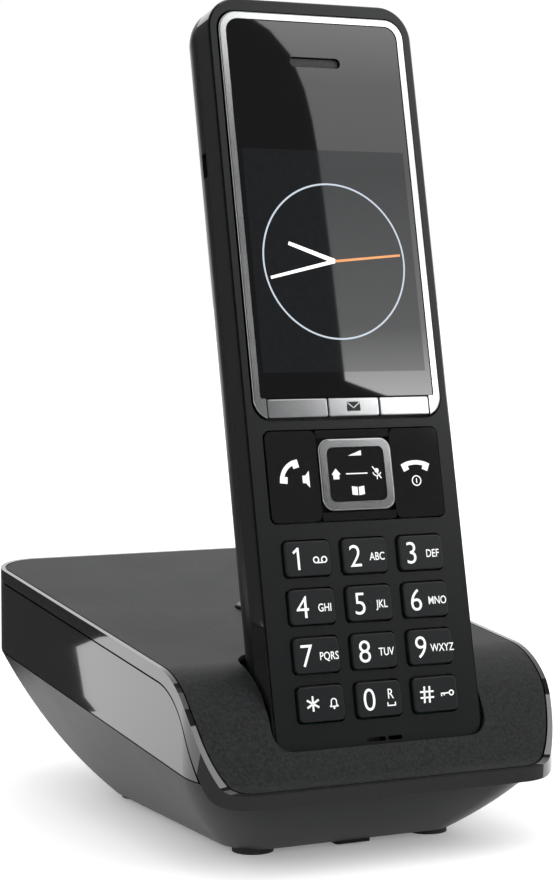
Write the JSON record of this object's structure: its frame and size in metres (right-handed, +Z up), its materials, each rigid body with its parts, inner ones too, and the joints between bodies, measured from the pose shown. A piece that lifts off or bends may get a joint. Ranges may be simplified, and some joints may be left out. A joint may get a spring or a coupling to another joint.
{
  "type": "cordless phone with base",
  "caption": "Cordless telephone handset with a round clock display and silver keys, standing in a low S-shaped charging base.",
  "frame": {"origin": "centre of the bounding box at floor level, under the feet", "axes": "+Z up and +Y to the back of the base; the keypad and display face -Y"},
  "size_m": [0.0874, 0.132, 0.1831],
  "materials": {
    "gloss_black": "piano gloss",
    "charcoal_grain": "fine grain, matte",
    "satin_black": "satin",
    "rubber_black": "matte",
    "board_green": "solder mask",
    "steel": "plain",
    "contact_metal": "polished",
    "silver_plating": "satin chrome",
    "lens_black": "gloss, dark print",
    "display_panel": "dark, lit graphics",
    "key_black": "fine grain, satin",
    "mat_grey": "matte",
    "cell_sleeve": "shrink film",
    "driver_dark": "matte"
  },
  "bodies": {
    "base": {"base_top_cover": "gloss_black", "base_top_inlay": "charcoal_grain", "base_side_panel": "gloss_black", "base_lower_shell": "satin_black", "rubber_feet": "rubber_black", "base_circuit_board": "board_green", "base_screws": "steel", "base_antenna": "contact_metal", "power_socket": "satin_black", "line_socket": "satin_black", "cradle_well": "satin_black", "charge_springs": "steel", "paging_switch_board": "board_green"},
    "handset": {"handset_front_shell": "satin_black", "handset_side_band": "gloss_black", "handset_rear_shell": "satin_black", "handset_screws": "steel", "battery_pack": "cell_sleeve", "battery_contacts": "steel", "handset_board": "board_green", "keypad_mat": "mat_grey", "lcd_module": "display_panel", "earpiece_speaker": "driver_dark", "microphone": "driver_dark", "loudspeaker": "driver_dark", "handset_charge_pads": "contact_metal", "display_bezel": "silver_plating", "display_lens": "lens_black", "earpiece_mesh": "driver_dark", "nav_trim": "gloss_black"},
    "paging_key": {"paging_key": "key_black"},
    "charge_contact_left": {"charge_contact_left": "contact_metal"},
    "charge_contact_right": {"charge_contact_right": "contact_metal"},
    "key_one": {"key_one": "key_black"},
    "key_two": {"key_two": "key_black"},
    "key_three": {"key_three": "key_black"},
    "key_four": {"key_four": "key_black"},
    "key_five": {"key_five": "key_black"},
    "key_six": {"key_six": "key_black"},
    "key_seven": {"key_seven": "key_black"},
    "key_eight": {"key_eight": "key_black"},
    "key_nine": {"key_nine": "key_black"},
    "key_star": {"key_star": "key_black"},
    "key_zero": {"key_zero": "key_black"},
    "key_pound": {"key_pound": "key_black"},
    "softkey_left": {"softkey_left": "silver_plating"},
    "message_key": {"message_key": "silver_plating"},
    "softkey_right": {"softkey_right": "silver_plating"},
    "talk_key": {"talk_key": "gloss_black"},
    "end_key": {"end_key": "gloss_black"},
    "dpad_pivot": {"dpad_pivot": "satin_black"},
    "dpad_rocker": {"dpad_ring": "silver_plating", "dpad_cap": "gloss_black"},
    "battery_cover": {"battery_cover": "satin_black"}
  },
  "joints": [
    {"name": "handset_lift", "type": "slide", "parent": "base", "child": "handset", "axis": [0, 0.2107, 0.9776], "range_m": [0, 0.06]},
    {"name": "paging_key_press", "type": "slide", "parent": "base", "child": "paging_key", "axis": [0, 0.108, -0.9942], "range_m": [0, 0.0008], "stiffness_N_per_m": 250},
    {"name": "charge_contact_left_press", "type": "slide", "parent": "base", "child": "charge_contact_left", "axis": [0, -0.2107, -0.9776], "range_m": [0, 0.0006], "stiffness_N_per_m": 250},
    {"name": "charge_contact_right_press", "type": "slide", "parent": "base", "child": "charge_contact_right", "axis": [0, -0.2107, -0.9776], "range_m": [0, 0.0006], "stiffness_N_per_m": 250},
    {"name": "key_one_press", "type": "slide", "parent": "handset", "child": "key_one", "axis": [0, 0.9776, -0.2107], "range_m": [0, 0.0006], "stiffness_N_per_m": 250},
    {"name": "key_two_press", "type": "slide", "parent": "handset", "child": "key_two", "axis": [0, 0.9776, -0.2107], "range_m": [0, 0.0006], "stiffness_N_per_m": 250},
    {"name": "key_three_press", "type": "slide", "parent": "handset", "child": "key_three", "axis": [0, 0.9776, -0.2107], "range_m": [0, 0.0006], "stiffness_N_per_m": 250},
    {"name": "key_four_press", "type": "slide", "parent": "handset", "child": "key_four", "axis": [0, 0.9776, -0.2107], "range_m": [0, 0.0006], "stiffness_N_per_m": 250},
    {"name": "key_five_press", "type": "slide", "parent": "handset", "child": "key_five", "axis": [0, 0.9776, -0.2107], "range_m": [0, 0.0006], "stiffness_N_per_m": 250},
    {"name": "key_six_press", "type": "slide", "parent": "handset", "child": "key_six", "axis": [0, 0.9776, -0.2107], "range_m": [0, 0.0006], "stiffness_N_per_m": 250},
    {"name": "key_seven_press", "type": "slide", "parent": "handset", "child": "key_seven", "axis": [0, 0.9776, -0.2107], "range_m": [0, 0.0006], "stiffness_N_per_m": 250},
    {"name": "key_eight_press", "type": "slide", "parent": "handset", "child": "key_eight", "axis": [0, 0.9776, -0.2107], "range_m": [0, 0.0006], "stiffness_N_per_m": 250},
    {"name": "key_nine_press", "type": "slide", "parent": "handset", "child": "key_nine", "axis": [0, 0.9776, -0.2107], "range_m": [0, 0.0006], "stiffness_N_per_m": 250},
    {"name": "key_star_press", "type": "slide", "parent": "handset", "child": "key_star", "axis": [0, 0.9776, -0.2107], "range_m": [0, 0.0006], "stiffness_N_per_m": 250},
    {"name": "key_zero_press", "type": "slide", "parent": "handset", "child": "key_zero", "axis": [0, 0.9776, -0.2107], "range_m": [0, 0.0006], "stiffness_N_per_m": 250},
    {"name": "key_pound_press", "type": "slide", "parent": "handset", "child": "key_pound", "axis": [0, 0.9776, -0.2107], "range_m": [0, 0.0006], "stiffness_N_per_m": 250},
    {"name": "softkey_left_press", "type": "slide", "parent": "handset", "child": "softkey_left", "axis": [0, 0.9776, -0.2107], "range_m": [0, 0.0006], "stiffness_N_per_m": 250},
    {"name": "message_key_press", "type": "slide", "parent": "handset", "child": "message_key", "axis": [0, 0.9776, -0.2107], "range_m": [0, 0.0006], "stiffness_N_per_m": 250},
    {"name": "softkey_right_press", "type": "slide", "parent": "handset", "child": "softkey_right", "axis": [0, 0.9776, -0.2107], "range_m": [0, 0.0006], "stiffness_N_per_m": 250},
    {"name": "talk_key_press", "type": "slide", "parent": "handset", "child": "talk_key", "axis": [0, 0.9776, -0.2107], "range_m": [0, 0.0006], "stiffness_N_per_m": 250},
    {"name": "end_key_press", "type": "slide", "parent": "handset", "child": "end_key", "axis": [0, 0.9776, -0.2107], "range_m": [0, 0.0006], "stiffness_N_per_m": 250},
    {"name": "dpad_nod", "type": "hinge", "parent": "handset", "child": "dpad_pivot", "pos_m": [0, -0.04498, 0.08019], "axis": [1, 0, 0], "range_deg": [-2.5, 2.5], "stiffness_Nm_per_rad": 0.02},
    {"name": "dpad_roll", "type": "hinge", "parent": "dpad_pivot", "child": "dpad_rocker", "pos_m": [0, -0.04498, 0.08019], "axis": [0, 0.2107, 0.9776], "range_deg": [-2.5, 2.5], "stiffness_Nm_per_rad": 0.02},
    {"name": "battery_cover_off", "type": "slide", "parent": "handset", "child": "battery_cover", "axis": [0, 0.9776, -0.2107], "range_m": [0, 0.012]}
  ]
}
